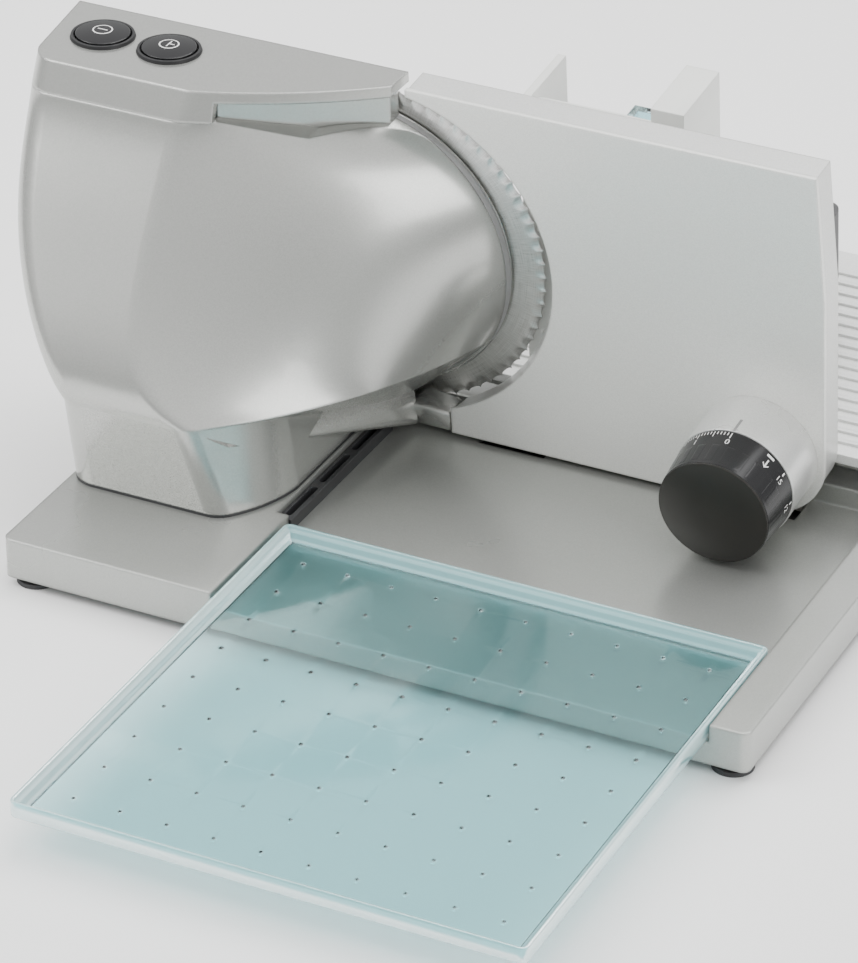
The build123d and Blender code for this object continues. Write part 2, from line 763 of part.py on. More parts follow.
barrel_start = plate_front + 1
barrel_end = collar_end - 1
pin_place = collar_end - 5.5
groove_depth = 3.0
groove_steps = 60
pin_reach = groove_depth - 0.6
with BuildPart() as dial_spindle:
    rod(dial_right, dial_v, barrel_radius, barrel_start, barrel_end)
    rod(dial_right, dial_v, spindle_radius, barrel_start, knob_end - 3 - touch)
    # the helical groove that the fixed pin runs in, cut by stepping the pin along it
    for step in range(groove_steps + 1):
        share = step / groove_steps
        turn = radians(dial_turn * share)
        outward = slicing.y_dir * -cos(turn) + slicing.x_dir * sin(turn)
        middle = slicing.from_local_coords(
            Vector(dial_right, dial_v, pin_place - plate_travel * share))
        bottom = middle + outward * (barrel_radius - groove_depth)
        with BuildSketch(Plane(origin=bottom, z_dir=outward)) as cut:
            Circle(pin_radius + slide_fit)
        extrude(cut.sketch, amount=groove_depth + 1, mode=Mode.SUBTRACT)
save(dial_spindle, "dial_spindle")

pin_top = dial_v - barrel_radius + pin_reach
with BuildPart() as cam_follower:
    post_foot = slicing.from_local_coords(Vector(dial_right, dial_v - barrel_radius, pin_place))
    slab(dial_right - 5, dial_right + 5, -plate_bottom - 8, pin_top - pin_reach - 1,
         pin_place - 2.2, pin_place + 2.2)
    upright(dial_right, pin_place, pin_radius, pin_top - pin_reach - 2, pin_top)
    block(dial_right - 12, dial_right + 12, post_foot.Y - blade_y - 12,
          post_foot.Y - blade_y + 12, 0, deck_top, Mode.SUBTRACT)
save(cam_follower, "cam_follower")

guide_v = -guide_rod_drop
rod_front = 8.0
rod_back = 52.0
with BuildPart() as guide_rods:
    for place in guide_places:
        rod(place, guide_v, guide_rod_radius, -rod_back, rod_front)
save(guide_rods, "guide_rods")
with BuildPart() as gauge_feet:
    for place in guide_places:
        slab(place - 14, place + 14, guide_v - 4.5, guide_v + 4.5, -36, plate_back - touch)
        slab(place - 14, place + 14, guide_v - 4.5, -plate_bottom + 12, plate_back - 3.5,
             plate_back - touch)
        rod(place, guide_v, guide_rod_radius + shaft_fit, -40, 5, Mode.SUBTRACT)
save(gauge_feet, "gauge_feet")
with BuildPart() as rod_blocks:
    for place in guide_places:
        slab(place - 9, place + 9, guide_v - 16, guide_v + 5, -rod_back - 2, -rod_back + 8)
        rod(place, guide_v, guide_rod_radius + touch, -rod_back - 1, -40, Mode.SUBTRACT)
    block(0, base_right, 0, 90, -10, foot_height + pan_thickness + touch, Mode.SUBTRACT)
    block(0, base_right, 0, 90, rear_top - base_wall - touch, rear_top + 9, Mode.SUBTRACT)
save(rod_blocks, "rod_blocks")

# ---------------------------------------------------------------- carriage on its rail

table_v = -table_drop
with BuildPart() as carriage_table:
    slab(table_left, table_right, table_v - table_thick, table_v, -table_rear, -table_start)
    slab(table_left, table_right, table_v - skirt, table_v, -table_start - 2.5, -table_start)
    slab(table_left, table_right, table_v - skirt, table_v, -table_rear, -table_rear + 2.5)
    slab(table_left, table_left + 2.5, table_v - skirt, table_v, -table_rear, -table_start)
    slab(table_right - 2.5, table_right, table_v - skirt, table_v, -table_rear, -table_start)
    ribs = int((table_depth - 12) // rib_pitch)
    for n in range(ribs):
        back = table_start + 8 + n * rib_pitch
        slab(table_left + 5, table_right - 5, table_v - 0.5, table_v + rib_height, -back - 2.2,
             -back)
save(carriage_table, "carriage_table")

runner_left = (table_left + table_right) / 2 - 45
rail_d = -rail_back
with BuildPart() as carriage_runner:
    for left in (runner_left, runner_left + 70):
        slab(left, left + 20, -rail_drop - 7, table_v - table_thick - touch, rail_d - 8,
             rail_d + 8)
    slab(runner_left, runner_left + 90, table_v - table_thick - 3.5, table_v - table_thick - touch,
         rail_d - 8, rail_d + 8)
    crossbar(runner_left - 5, runner_left + 95, -rail_drop, rail_d, rail_radius + shaft_fit,
             Mode.SUBTRACT)
save(carriage_runner, "carriage_runner")

with BuildPart() as carriage_rail:
    crossbar(-base_left + 6, base_right - 8, -rail_drop, rail_d, rail_radius)
save(carriage_rail, "carriage_rail")
with BuildPart() as rail_posts:
    for left in (-base_left + 3, base_right - 13):
        slab(left, left + 10, -rail_drop - 30, -rail_drop + 5.5, rail_d - 7, rail_d + 7)
    crossbar(-base_left + 6 - touch, base_right - 8 + touch, -rail_drop, rail_d,
             rail_radius + touch, Mode.SUBTRACT)
    block(-base_left - 9, base_right + 9, -20, 60, -10, rear_top + touch, Mode.SUBTRACT)
save(rail_posts, "rail_posts")

track_back = 88.0
track_top = table_v - table_thick - 3
with BuildPart() as rear_track:
    slab(-base_left + 3, base_right - 3, track_top - 2.5, track_top, -track_back - 6,
         -track_back + 6)
    slab(-base_left + 3, base_right - 3, -guide_rod_drop - 20, track_top - 1, -track_back - 1.5,
         -track_back + 1.5)
    block(-base_left - 9, base_right + 9, 0, base_rear + 40, -20, rear_top + touch, Mode.SUBTRACT)
save(rear_track, "rear_track")
with BuildPart() as carriage_glides:
    for left in (runner_left, runner_left + 70):
        slab(left, left + 20, track_top + slide_fit, table_v - table_thick - touch,
             -track_back - 5, -track_back + 5)
save(carriage_glides, "carriage_glides")

fence_back = table_rear - 8
fence_foot = table_drop - rib_height
with BuildPart() as carriage_fence:
    with BuildSketch(Plane(origin=slicing.from_local_coords(Vector(fence_left, 0, 0)),
                           x_dir=-slicing.z_dir, z_dir=(-1, 0, 0))) as side:
        with BuildLine():
            Polyline((12, fence_foot), (12, -fence_top), (42, -fence_top),
                     (62, -fence_shoulder), (fence_back, -fence_tail),
                     (fence_back, fence_foot), close=True)
        make_face()
    extrude(side.sketch, amount=-fence_thick)
save(carriage_fence, "carriage_fence")

grip_left = fence_left + fence_thick + touch
with BuildPart() as carriage_handle:
    slab(grip_left, grip_left + 38, -40, -2, -112, -100)
    slab(grip_left, grip_left + 38, -40, -2, -52, -40)
    slab(grip_left + 26, grip_left + 38, -40, -2, -112, -40)
    fillet(carriage_handle.edges().filter_by(lambda e: abs(e.tangent_at(0).dot(slicing.y_dir)) > 0.99
                                             ).group_by(Axis.X)[-1], 7)
save(carriage_handle, "carriage_handle")

post_top = 97.5
wing_top = 91.0
saddle_left = fence_left - 3.0
saddle_right = fence_left + fence_thick + 3.0
with BuildPart() as holder_saddle:
    slab(saddle_left, saddle_right, 20, post_top, -50, -10)
    slab(fence_left - slide_fit, fence_left + fence_thick + slide_fit, 10, fence_top + slide_fit,
         -60, 0, Mode.SUBTRACT)
save(holder_saddle, "holder_saddle")
with BuildPart() as holder_plate:
    slab(holder_left, holder_right, table_v + 6, holder_top, -9, -5)
    slab(holder_left, holder_left + 4, table_v + 30, wing_top, -47, -8.5)
    slab(holder_left, holder_right, holder_top - 3, holder_top, -18, -8.5)
    slab(holder_right - 1, fence_left - slide_fit, 20, fence_top + 4, -10 + touch, -5)
    for u in range(int(holder_left) + 8, int(holder_right) - 4, 12):
        for v in range(int(table_v) + 14, int(holder_top) - 8, 14):
            with BuildSketch(slicing.offset(-5.2)) as spike:
                with Locations((u, v)):
                    Circle(1.2)
            extrude(spike.sketch, amount=2.2, taper=22)
save(holder_plate, "holder_plate")
guard_top = 80.0
with BuildPart() as thumb_guard:
    slab(holder_left + 43, saddle_left - touch, guard_top - 20, guard_top, -36, -18 - touch)
    slab(holder_left + 45.4, saddle_left - 2.4, guard_top - 21, guard_top - 2.4, -33.6, -20.4,
         Mode.SUBTRACT)
save(thumb_guard, "thumb_guard")

# ---------------------------------------------------------------- tray

with BuildPart() as slice_tray:
    tray_front = -base_front - tray_length + tray_overlap
    block(tray_left, tray_left + tray_width, tray_front, tray_front + tray_length,
          deck_top + slide_fit, deck_top + tray_rim)
    fillet(slice_tray.edges().filter_by(Axis.Z), 3)
    block(tray_left + tray_wall + 2, tray_left + tray_width - tray_wall - 2,
          tray_front + tray_wall + 2, tray_front + tray_length - tray_wall - 2,
          deck_top + slide_fit + tray_wall, deck_top + tray_rim + 1, Mode.SUBTRACT)
save(slice_tray, "slice_tray")

# ---------------------------------------------------------------- supply inlet

with BuildPart() as cord_inlet:
    block(inlet_left, inlet_left + inlet_width, base_rear - base_wall - 6, base_rear + 2,
          foot_height + 3, foot_height + 15)
    block(inlet_left - 2, inlet_left + inlet_width + 2, base_rear - base_wall - 6,
          base_rear - base_wall - touch, foot_height + 3, foot_height + 15)
    with BuildSketch(Plane(origin=(blade_x + inlet_left + inlet_width / 2,
                                   blade_y + base_rear + 3, foot_height + 9),
                           x_dir=(1, 0, 0), z_dir=(0, -1, 0))) as bore:
        Circle(3.2)
    extrude(bore.sketch, amount=20, mode=Mode.SUBTRACT)
save(cord_inlet, "cord_inlet")
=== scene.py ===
"""Electric food slicer: a leaning scalloped blade in a rounded silver motor housing, a thickness
plate with its dial, a sliding food carriage with a remnant holder, and a clear slice tray.
Metres, in the machine's own frame: +X to the right of somebody who takes the slices, +Y away from
that person, +Z up.  The sections follow the order in which the machine is put together."""

import bpy
import numpy as np
import json
from math import cos, pi, radians, sin
from mathutils import Matrix, Vector

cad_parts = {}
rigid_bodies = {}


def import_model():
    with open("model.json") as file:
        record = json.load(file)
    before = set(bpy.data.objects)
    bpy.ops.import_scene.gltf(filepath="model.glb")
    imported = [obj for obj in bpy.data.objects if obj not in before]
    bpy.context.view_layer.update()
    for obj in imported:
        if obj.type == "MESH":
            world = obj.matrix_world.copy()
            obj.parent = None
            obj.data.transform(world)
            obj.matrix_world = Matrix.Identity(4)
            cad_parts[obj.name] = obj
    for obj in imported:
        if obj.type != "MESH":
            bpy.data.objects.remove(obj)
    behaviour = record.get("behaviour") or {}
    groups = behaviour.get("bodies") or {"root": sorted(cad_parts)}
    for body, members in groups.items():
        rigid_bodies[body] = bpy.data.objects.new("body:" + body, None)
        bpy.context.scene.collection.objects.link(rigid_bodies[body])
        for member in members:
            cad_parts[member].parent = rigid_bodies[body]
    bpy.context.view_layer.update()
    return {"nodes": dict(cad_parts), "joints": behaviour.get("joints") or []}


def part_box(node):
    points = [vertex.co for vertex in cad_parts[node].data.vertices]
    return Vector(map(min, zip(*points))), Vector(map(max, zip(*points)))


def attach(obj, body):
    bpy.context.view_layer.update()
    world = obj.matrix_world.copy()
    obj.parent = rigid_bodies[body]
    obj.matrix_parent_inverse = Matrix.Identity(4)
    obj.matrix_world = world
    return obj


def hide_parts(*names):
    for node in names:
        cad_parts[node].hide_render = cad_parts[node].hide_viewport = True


for leftover in list(bpy.data.objects):
    bpy.data.objects.remove(leftover)
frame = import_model()
parts = frame["nodes"]

# ------------------------------------------------------------------ viewpoint, table and light
# The viewpoint stands in front and a little left, well above the machine, with a long lens.
# The machine stands on a plain pale table in a light room, under three large soft lamps.

lens_mm = 185.15
viewpoint = bpy.data.objects.new("viewpoint", bpy.data.cameras.new("viewpoint"))
viewpoint.data.lens = lens_mm
viewpoint.data.sensor_width = 36.0
viewpoint.data.clip_end = 50.0
viewpoint.matrix_world = (Matrix.Translation((0.8546, -1.7174, 1.1769))
                          @ Matrix.Rotation(radians(26.0), 4, "Z")
                          @ Matrix.Rotation(radians(59.52), 4, "X")
                          @ Matrix.Rotation(radians(0.2), 4, "Z"))
bpy.context.scene.collection.objects.link(viewpoint)
bpy.context.scene.camera = viewpoint


def put(tree, kind, settings=None, **fed):
    """Adds one shader node.  Settings are its own switches; each other word names a socket, or
    a, b and c for its first three, and is joined to a socket or set to a value."""
    made = tree.nodes.new("ShaderNode" + kind)
    for word, value in (settings or {}).items():
        setattr(made, word, value)
    for word, value in fed.items():
        place = "abc".index(word) if word in ("a", "b", "c") else word.replace("_", " ")
        if isinstance(value, bpy.types.NodeSocket):
            tree.links.new(value, made.inputs[place])
        else:
            made.inputs[place].default_value = value
    return made


def mixed(tree, share, first, second):
    """The colour that goes from the first to the second as the share goes from 0 to 1."""
    mixer = put(tree, "Mix", {"data_type": "RGBA"})
    for place, value in ((0, share), (6, first), (7, second)):
        if isinstance(value, bpy.types.NodeSocket):
            tree.links.new(value, mixer.inputs[place])
        else:
            mixer.inputs[place].default_value = value
    return mixer.outputs[2]


def ranged(tree, value, low, high, new_low, new_high):
    """The value carried in a straight line from one range to another, and held at its ends."""
    return put(tree, "MapRange", Value=value, From_Min=low, From_Max=high, To_Min=new_low,
               To_Max=new_high).outputs["Result"]


def sum_of(tree, operation, first, second):
    """The two values joined by one arithmetic operation."""
    return put(tree, "Math", {"operation": operation}, a=first, b=second).outputs[0]


room = bpy.data.worlds.new("light_room")
bpy.context.scene.world = room
room.use_nodes = True
tree = room.node_tree
sky = put(tree, "SeparateXYZ", Vector=put(tree, "TexCoord").outputs["Generated"])
height = ranged(tree, sky.outputs["Z"], -0.15, 0.75, 0.0, 1.0)
tree.links.new(mixed(tree, height, (0.27, 0.28, 0.275, 1.0), (1.0, 1.0, 1.0, 1.0)),
               tree.nodes["Background"].inputs["Color"])
tree.nodes["Background"].inputs["Strength"].default_value = 1.32

for name, place, size, power in (
        ("window_left", (-1.2, -0.7, 1.5), 1.3, 30.0),
        ("ceiling", (0.2, 0.7, 1.8), 1.6, 34.0),
        ("fill_right", (1.7, -0.5, 1.0), 0.9, 12.0)):
    lamp = bpy.data.lights.new(name, "AREA")
    lamp.size = size
    lamp.energy = power
    holder = bpy.data.objects.new(name, lamp)
    aim = np.array((0.0, -0.02, 0.08)) - np.array(place)
    holder.matrix_world = (Matrix.Translation(place)
                           @ Vector(aim).to_track_quat("-Z", "Y").to_matrix().to_4x4())
    bpy.context.scene.collection.objects.link(holder)


def grid_piece(name, body, points, material, round_u=False, round_v=False, smooth=True):
    """A surface on a grid.  Points is an array of rows by columns by three; neighbours in both
    directions are joined by quads, and the last row or column to the first where it is round."""
    rows, columns = points.shape[:2]
    below = np.arange(rows if round_u else rows - 1)
    left = np.arange(columns if round_v else columns - 1)
    u, v = (part.ravel() for part in np.meshgrid(below, left, indexing="ij"))
    u_next, v_next = (u + 1) % rows, (v + 1) % columns
    quads = np.stack([u * columns + v, u_next * columns + v, u_next * columns + v_next,
                      u * columns + v_next], axis=1)
    return raw_piece(name, body, points.reshape(-1, 3), quads, material, smooth)


def raw_piece(name, body, points, faces, material, smooth=True):
    """A mesh from arrays of points and of equal faces, riding on a body of the machine."""
    mesh = bpy.data.meshes.new(name)
    mesh.from_pydata(points.tolist(), [], faces.tolist())
    mesh.shade_smooth() if smooth else mesh.shade_flat()
    mesh.materials.append(material)
    piece = bpy.data.objects.new(name, mesh)
    bpy.context.scene.collection.objects.link(piece)
    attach(piece, body)
    return piece


def dress(material, *names):
    """Gives CAD nodes this material in every one of their slots."""
    for name in names:
        held = parts[name].data.materials
        for place in range(max(1, len(held))):
            if place < len(held):
                held[place] = material
            else:
                held.append(material)


def effect(name, fed, given):
    """A new node group with named float inputs, and outputs named with their kinds."""
    tree = bpy.data.node_groups.new(name, "ShaderNodeTree")
    for word, value in fed.items():
        tree.interface.new_socket(word, in_out="INPUT", socket_type="NodeSocketFloat")
        tree.interface.items_tree[word].default_value = value
    for word, kind in given.items():
        tree.interface.new_socket(word, in_out="OUTPUT", socket_type="NodeSocket" + kind)
    return tree, tree.nodes.new("NodeGroupInput").outputs, tree.nodes.new("NodeGroupOutput").inputs


# Edge: a moulded or pressed edge is never sharp.  The normal turns over the given radius, and the
# mask is high where it turns on an outer edge, broken up by noise, where handling wears it.  On
# clear acrylic the same mask paints light into the edges' colour.
edge_effect, fed, given = effect("softened_edge", {"Radius": 0.0008, "Wear": 0.5},
                                 {"Normal": "Vector", "Mask": "Float"})
turned = put(edge_effect, "Bevel", {"samples": 6}, Radius=fed["Radius"])
flat = put(edge_effect, "NewGeometry")
likeness = put(edge_effect, "VectorMath", {"operation": "DOT_PRODUCT"}, a=turned.outputs[0],
               b=flat.outputs["Normal"])
spots = put(edge_effect, "TexNoise", Scale=420.0, Detail=3.0,
            Vector=put(edge_effect, "TexCoord").outputs["Object"])
broken = ranged(edge_effect, spots.outputs["Fac"], 0.35, 0.62, 0.2, 1.0)
lifted = ranged(edge_effect, likeness.outputs["Value"], 0.995, 0.86, 0.0, 1.0)
edge_effect.links.new(turned.outputs[0], given["Normal"])
edge_effect.links.new(sum_of(edge_effect, "MULTIPLY", sum_of(edge_effect, "MULTIPLY", lifted,
                                                             broken), fed["Wear"]), given["Mask"])

# Handling: the uneven polish and haze that wiping and fingers leave, in soft patches.
haze_effect, fed, given = effect("handling_haze", {"Scale": 14.0}, {"Patch": "Float",
                                                                    "Speck": "Float"})
place = put(haze_effect, "TexCoord").outputs["Object"]
patch = put(haze_effect, "TexNoise", Scale=fed["Scale"], Detail=4.0, Roughness=0.55, Vector=place)
speck = put(haze_effect, "TexNoise", Scale=sum_of(haze_effect, "MULTIPLY", fed["Scale"], 42.0),
            Detail=2.0, Vector=place)
haze_effect.links.new(ranged(haze_effect, patch.outputs["Fac"], 0.32, 0.7, 0.0, 1.0),
                      given["Patch"])
haze_effect.links.new(speck.outputs["Fac"], given["Speck"])

# Grain: the fine pebbled texture of a spark-eroded mould, as relief.
grain_effect, fed, given = effect("moulded_grain", {"Scale": 1500.0}, {"Height": "Float"})
place = put(grain_effect, "TexCoord").outputs["Object"]
pebble = put(grain_effect, "TexVoronoi", {"feature": "SMOOTH_F1"}, Scale=fed["Scale"],
             Vector=place)
swell = put(grain_effect, "TexNoise", Scale=sum_of(grain_effect, "MULTIPLY", fed["Scale"], 0.3),
            Detail=2.0, Vector=place)
grain_effect.links.new(sum_of(grain_effect, "ADD", pebble.outputs["Distance"],
                              swell.outputs["Fac"]), given["Height"])

# Dust: what settles on faces that look up, in a thin uneven veil.
dust_effect, fed, given = effect("settled_dust", {"Amount": 0.1}, {"Mask": "Float"})
upward = put(dust_effect, "SeparateXYZ", Vector=put(dust_effect, "NewGeometry").outputs["Normal"])
veil = put(dust_effect, "TexNoise", Scale=60.0, Detail=6.0, Roughness=0.7,
           Vector=put(dust_effect, "TexCoord").outputs["Object"])
lying = ranged(dust_effect, upward.outputs["Z"], 0.55, 0.95, 0.0, 1.0)
thin = ranged(dust_effect, veil.outputs["Fac"], 0.42, 0.75, 0.0, 1.0)
dust_effect.links.new(sum_of(dust_effect, "MULTIPLY", sum_of(dust_effect, "MULTIPLY", lying,
                                                             thin), fed["Amount"]), given["Mask"])


def new_material(name):
    """An empty procedural material, with its node tree and its surface shader."""
    material = bpy.data.materials.new(name)
    material.use_nodes = True
    tree = material.node_tree
    return material, tree, tree.nodes["Principled BSDF"]


def colour_of(tint, factor=1.0):
    """A tint as a four-number colour, made lighter or darker by a factor."""
    return tuple(min(1.0, channel * factor) for channel in tint) + (1.0,)


def moulding(name, tint, gloss, grain=1500.0, relief=0.00002, radius=0.0006, wear=0.35,
             dust=0.06, coat=0.0, shine=0.4):
    """Moulded plastic or rubber: the colour drifts a little with the flow of the melt, the grain
    of the mould is its relief, its gloss is uneven from handling, and edges are paler."""
    material, tree, shader = new_material(name)
    edge = put(tree, "Group", {"node_tree": edge_effect}, Radius=radius, Wear=wear)
    haze = put(tree, "Group", {"node_tree": haze_effect}, Scale=18.0)
    relief_map = put(tree, "Group", {"node_tree": grain_effect}, Scale=grain)
    veil = put(tree, "Group", {"node_tree": dust_effect}, Amount=dust)
    body_colour = mixed(tree, haze.outputs["Patch"], colour_of(tint, 0.93), colour_of(tint, 1.06))
    worn = mixed(tree, edge.outputs["Mask"], body_colour,
                 colour_of(tuple(0.12 + 0.88 * channel for channel in tint)))
    dusty = mixed(tree, veil.outputs["Mask"], worn, (0.62, 0.6, 0.57, 1.0))
    tree.links.new(dusty, shader.inputs["Base Color"])
    rough = ranged(tree, haze.outputs["Patch"], 0.0, 1.0, gloss * 0.85, min(1.0, gloss * 1.2))
    rough = sum_of(tree, "ADD", rough, sum_of(tree, "MULTIPLY", veil.outputs["Mask"], 0.8))
    tree.links.new(rough, shader.inputs["Roughness"])
    bump = put(tree, "Bump", Strength=0.6, Distance=relief, Height=relief_map.outputs["Height"],
               Normal=edge.outputs["Normal"])
    tree.links.new(bump.outputs[0], shader.inputs["Normal"])
    shader.inputs["Coat Weight"].default_value = coat
    shader.inputs["Coat Roughness"].default_value = 0.08
    shader.inputs["Specular IOR Level"].default_value = shine
    return material


def machined(name, tint, gloss, along=(1.0, 1.0, 1.0), scale=900.0, relief=0.000012,
             radius=0.0003, wear=0.4):
    """Bare metal: fine tool lines drawn out along one direction as relief and as streaks in the
    gloss, patches of dulling, and edges burnished bright."""
    material, tree, shader = new_material(name)
    edge = put(tree, "Group", {"node_tree": edge_effect}, Radius=radius, Wear=wear)
    haze = put(tree, "Group", {"node_tree": haze_effect}, Scale=30.0)
    stretched = put(tree, "Mapping", Scale=along,
                    Vector=put(tree, "TexCoord").outputs["Object"])
    lines = put(tree, "TexNoise", Scale=scale, Detail=3.0, Vector=stretched.outputs[0])
    dulled = mixed(tree, haze.outputs["Patch"], colour_of(tint, 0.86), colour_of(tint, 1.05))
    tree.links.new(mixed(tree, edge.outputs["Mask"], dulled, colour_of(tint, 1.25)),
                   shader.inputs["Base Color"])
    tree.links.new(ranged(tree, lines.outputs["Fac"], 0.3, 0.7, gloss * 0.75, gloss * 1.35),
                   shader.inputs["Roughness"])
    bump = put(tree, "Bump", Strength=0.5, Distance=relief, Height=lines.outputs["Fac"],
               Normal=edge.outputs["Normal"])
    tree.links.new(bump.outputs[0], shader.inputs["Normal"])
    shader.inputs["Metallic"].default_value = 1.0
    return material


# ------------------------------------------------------------------ base
# A moulded base stands on four rubber suction feet, closed below by a screwed-on pan.
# Its cover is sprayed silver, and its deck is sunk for the slice tray.

rubber = moulding("black_rubber", (0.045, 0.045, 0.047), 0.62, 1100.0, 0.00003, dust=0.12)
pan_plastic = moulding("pan_plastic", (0.09, 0.09, 0.092), 0.5)
zinc_plate = machined("zinc_plate", (0.66, 0.67, 0.69), 0.3, (1.0, 1.0, 6.0))
dress(rubber, "suction_feet")
dress(pan_plastic, "base_pan")
dress(zinc_plate, "base_screws")


def silver_coat(name, tint, gloss, metal, flake, radius, wear=0.22):
    """Silver paint: metal flakes that glint singly in a clear binder, a faint orange-peel relief,
    uneven gloss where it is wiped, and grey primer that begins to show on the edges."""
    material, tree, shader = new_material(name)
    place = put(tree, "TexCoord").outputs["Object"]
    edge = put(tree, "Group", {"node_tree": edge_effect}, Radius=radius, Wear=wear)
    haze = put(tree, "Group", {"node_tree": haze_effect}, Scale=9.0)
    veil = put(tree, "Group", {"node_tree": dust_effect}, Amount=0.05)
    flakes = put(tree, "TexVoronoi", Scale=flake, Vector=place)
    glint = ranged(tree, put(tree, "SeparateColor", Color=flakes.outputs["Color"]).outputs[0],
                   0.0, 1.0, 0.0, 1.0)
    base_colour = mixed(tree, glint, colour_of(tint, 0.93), colour_of(tint, 1.07))
    patchy = mixed(tree, sum_of(tree, "MULTIPLY", haze.outputs["Patch"], 0.35), base_colour,
                   colour_of(tint, 0.96))
    worn = mixed(tree, edge.outputs["Mask"], patchy, (0.5, 0.5, 0.49, 1.0))
    tree.links.new(mixed(tree, veil.outputs["Mask"], worn, (0.6, 0.59, 0.56, 1.0)),
                   shader.inputs["Base Color"])
    tree.links.new(ranged(tree, haze.outputs["Patch"], 0.0, 1.0, gloss * 0.88, gloss * 1.15),
                   shader.inputs["Roughness"])
    peel = put(tree, "TexNoise", Scale=380.0, Detail=2.0, Vector=place)
    bump = put(tree, "Bump", Strength=0.35, Distance=0.00003, Height=peel.outputs["Fac"],
               Normal=edge.outputs["Normal"])
    tree.links.new(bump.outputs[0], shader.inputs["Normal"])
    shader.inputs["Metallic"].default_value = metal
    shader.inputs["Coat Weight"].default_value = 0.35
    shader.inputs["Coat Roughness"].default_value = 0.06
    return material


base_silver = silver_coat("base_silver", (0.4, 0.41, 0.39), 0.3, 0.62, 2600.0, 0.0022)
dress(base_silver, "base_cover")
strip_plastic = moulding("strip_plastic", (0.035, 0.036, 0.038), 0.42, 1300.0)
dress(strip_plastic, "deck_strip")
inlet_plastic = moulding("inlet_plastic", (0.05, 0.05, 0.052), 0.5)
dress(inlet_plastic, "cord_inlet")

# ------------------------------------------------------------------ rail and rear track
# The carriage hangs on a ground steel rail behind the blade and glides on a pressed track.

rail_steel = machined("rail_steel", (0.7, 0.7, 0.69), 0.2, (0.15, 6.0, 6.0))
post_metal = machined("post_metal", (0.6, 0.61, 0.62), 0.42, (2.0, 2.0, 2.0), 500.0, 0.00004)
dress(rail_steel, "carriage_rail", "guide_rods")
dress(post_metal, "rail_posts", "rear_track", "rod_blocks", "cam_follower")

# ------------------------------------------------------------------ motor and gearing
# A brushed motor with ferrite magnets turns a brass worm, which drives the nylon blade gear.
# The gearing runs in sintered bushes held by a pressed frame on the housing's back plate.

pressed_steel = machined("pressed_steel", (0.58, 0.59, 0.6), 0.38, (1.0, 1.0, 5.0), 600.0)
ferrite = moulding("ferrite", (0.1, 0.1, 0.105), 0.7, 800.0, 0.00004)
sintered_bronze = machined("sintered_bronze", (0.62, 0.45, 0.26), 0.45, (1.0, 1.0, 1.0), 2600.0)
carbon = moulding("carbon", (0.06, 0.06, 0.06), 0.45, 2200.0)
winding_copper = machined("winding_copper", (0.72, 0.36, 0.18), 0.35, (1.0, 1.0, 12.0), 420.0,
                          0.00012)
worm_brass = machined("worm_brass", (0.74, 0.58, 0.3), 0.25, (1.0, 1.0, 9.0))
gear_nylon = moulding("gear_nylon", (0.78, 0.75, 0.66), 0.4, 900.0)
shaft_steel = machined("shaft_steel", (0.62, 0.62, 0.62), 0.22, (6.0, 0.3, 6.0))
board_resin = moulding("board_resin", (0.03, 0.2, 0.09), 0.3, 700.0, 0.00006)
dress(pressed_steel, "motor_can", "gear_frame", "motor_mount", "worm_bearing")
dress(ferrite, "motor_magnets")
dress(sintered_bronze, "motor_bushes", "shaft_bushes")
dress(carbon, "motor_brushes")
dress(winding_copper, "rotor")
dress(worm_brass, "worm")
dress(gear_nylon, "blade_gear", "motor_cap")
dress(shaft_steel, "blade_shaft")
dress(board_resin, "circuit_board")

# ------------------------------------------------------------------ housing
# A round-nosed shell sprayed silver, closed by a top cover whose visor runs over the blade.
# It stands on a pedestal with a thin dark seal; a bowed skirt and a stop block run under the
# nose, and a thin lip ring closes the gap between the nose and the blade.

shell_silver = silver_coat("shell_silver", (0.46, 0.465, 0.445), 0.24, 0.72, 2400.0, 0.0016)
inner_grey = moulding("inner_grey", (0.3, 0.3, 0.3), 0.45)
dress(shell_silver, "housing_front", "housing_top", "guard_arm")
lip_left, lip_up = -7.5, 1.0
spin = next(joint for joint in frame["joints"] if joint["name"] == "blade_spin")
axle = np.array(spin["pos_m"])
outward = np.array(spin["axis"])
rightward = np.array((1.0, 0.0, 0.0))
upward_lean = np.cross(outward, rightward)


def lean_place(right, up, out):
    """Points given from the blade's axle: right, up the leaning plane and out from it, in mm."""
    right, up, out = np.broadcast_arrays(right, up, out)
    return axle + 0.001 * (right[..., None] * rightward + up[..., None] * upward_lean
                           + out[..., None] * outward)


def nose_lip():
    """A thin ring that closes the gap between the nose's rim and the blade: a rounded section
    carried round a circle a little left of the axle."""
    turns = np.linspace(0.0, 2 * pi, 192, endpoint=False)[:, None]
    reach = np.array((73.4, 73.4, 76.2, 77.0, 77.0, 76.4))[None, :]
    out = np.array((3.4, 1.5, 1.3, 1.8, 2.9, 3.4))[None, :]
    return lean_place(lip_left + reach * np.sin(turns), lip_up + reach * np.cos(turns),
                      out + 0 * turns)


grid_piece("nose_lip", "chassis", nose_lip(), shell_silver, round_u=True,
           round_v=True)


def skirt_loop(share):
    """One closed section of the skirt: its crease edge and its lower edge both run in straight
    lines from the pedestal to the plate, and the panel between them bows out a little."""
    crease = np.array((-27.0, -141.0, 69.5)) + share * np.array((47.0, 138.5, -29.9))
    lower = np.array((-12.0, -133.0, 61.0)) + share * np.array((37.0, 126.0, -42.4))
    bow = np.array((1.2, -0.6, -0.4))
    across = np.linspace(0.0, 1.0, 9)[:, None]
    face = crease + across * (lower - crease) + 4 * across * (1 - across) * bow
    inner = face[::-1] + np.array((-3.2, 1.2, 0.6))
    return np.concatenate([face, inner])


